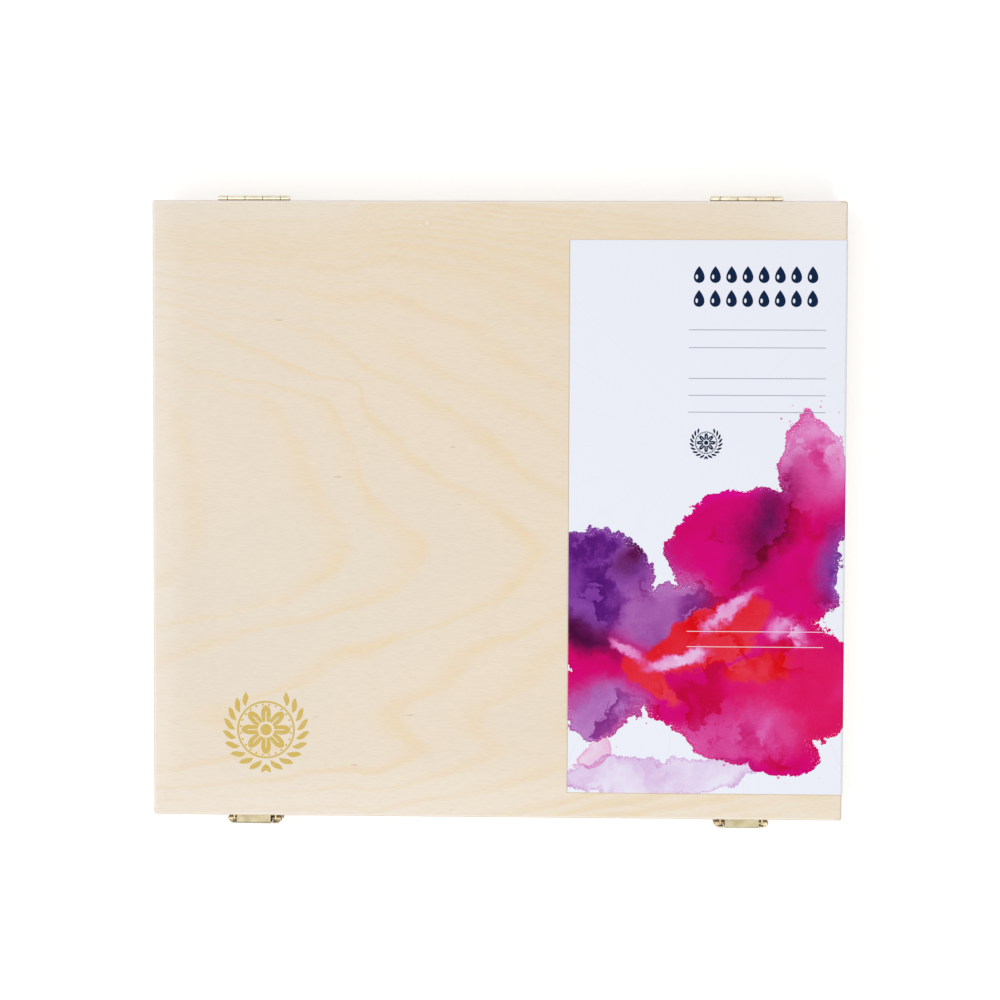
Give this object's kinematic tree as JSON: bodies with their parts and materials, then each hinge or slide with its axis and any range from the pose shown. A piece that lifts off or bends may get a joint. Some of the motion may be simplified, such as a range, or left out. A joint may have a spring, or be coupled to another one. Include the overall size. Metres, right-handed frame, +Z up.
{
  "type": "watercolour paint box",
  "caption": "Shallow hinged wooden box with a pale plywood lid, a label card folded over one edge, butt hinges, toggle latches and a formed tray of paint tubes inside.",
  "frame": {"origin": "centre of the box's underside, where it rests on a table; hinges and latches are left out of the centring", "axes": "+X to the right along the width, +Y to the back where the hinges are, -Y to the front where the latches are, +Z up"},
  "size_m": [0.3924, 0.3642, 0.0485],
  "materials": {
    "panel_plywood": "satin",
    "wall_wood": "satin",
    "pale_brass": "satin",
    "screw_brass": "satin",
    "card": "matte",
    "foam": "matte",
    "tray_plastic": "satin",
    "tube_metal": "satin",
    "cap_plastic": "satin"
  },
  "bodies": {
    "base": {"base_bottom_panel": "panel_plywood", "base_front_wall": "wall_wood", "base_back_wall": "wall_wood", "base_left_wall": "wall_wood", "base_right_wall": "wall_wood", "tube_tray": "tray_plastic", "tubes_row_1": "tube_metal", "caps_row_1": "cap_plastic", "tubes_row_2": "tube_metal", "caps_row_2": "cap_plastic", "tubes_row_3": "tube_metal", "caps_row_3": "cap_plastic", "tubes_row_4": "tube_metal", "caps_row_4": "cap_plastic", "hinge_left_base_leaf": "pale_brass", "hinge_left_pin": "pale_brass", "latch_left_base_plate": "pale_brass", "latch_left_lever_pin": "pale_brass", "hinge_right_base_leaf": "pale_brass", "hinge_right_pin": "pale_brass", "latch_right_base_plate": "pale_brass", "latch_right_lever_pin": "pale_brass", "hinge_base_screws": "screw_brass", "latch_base_screws": "screw_brass"},
    "lid": {"lid_top_panel": "panel_plywood", "lid_front_rail": "wall_wood", "lid_back_rail": "wall_wood", "lid_left_rail": "wall_wood", "lid_right_rail": "wall_wood", "lid_foam_pad": "foam", "label_card": "card", "hinge_left_lid_leaf": "pale_brass", "hinge_right_lid_leaf": "pale_brass", "hinge_lid_screws": "screw_brass", "latch_left_strike_plate": "pale_brass", "latch_right_strike_plate": "pale_brass", "strike_screws": "screw_brass"},
    "latch_left_lever": {"latch_left_lever": "pale_brass", "latch_left_claw_pin": "pale_brass"},
    "latch_left_claw": {"latch_left_claw": "pale_brass"},
    "latch_right_lever": {"latch_right_lever": "pale_brass", "latch_right_claw_pin": "pale_brass"},
    "latch_right_claw": {"latch_right_claw": "pale_brass"}
  },
  "joints": [
    {"name": "lid_hinge", "type": "hinge", "parent": "base", "child": "lid", "pos_m": [0, 0.1772, 0.03015], "axis": [-1, 0, 0], "range_deg": [0, 180]},
    {"name": "latch_left_lever_pivot", "type": "hinge", "parent": "base", "child": "latch_left_lever", "pos_m": [-0.1405, -0.1802, 0.0275], "axis": [-1, 0, 0], "range_deg": [0, 95]},
    {"name": "latch_left_claw_pivot", "type": "hinge", "parent": "latch_left_lever", "child": "latch_left_claw", "pos_m": [-0.1405, -0.1805, 0.019], "axis": [-1, 0, 0], "range_deg": [-95, 0]},
    {"name": "latch_right_lever_pivot", "type": "hinge", "parent": "base", "child": "latch_right_lever", "pos_m": [0.1405, -0.1802, 0.0275], "axis": [-1, 0, 0], "range_deg": [0, 95]},
    {"name": "latch_right_claw_pivot", "type": "hinge", "parent": "latch_right_lever", "child": "latch_right_claw", "pos_m": [0.1405, -0.1805, 0.019], "axis": [-1, 0, 0], "range_deg": [-95, 0]}
  ],
  "couplings": [
    {"joint": "latch_left_claw_pivot", "follows": "latch_left_lever_pivot", "ratio": -1},
    {"joint": "latch_right_claw_pivot", "follows": "latch_right_lever_pivot", "ratio": -1}
  ]
}
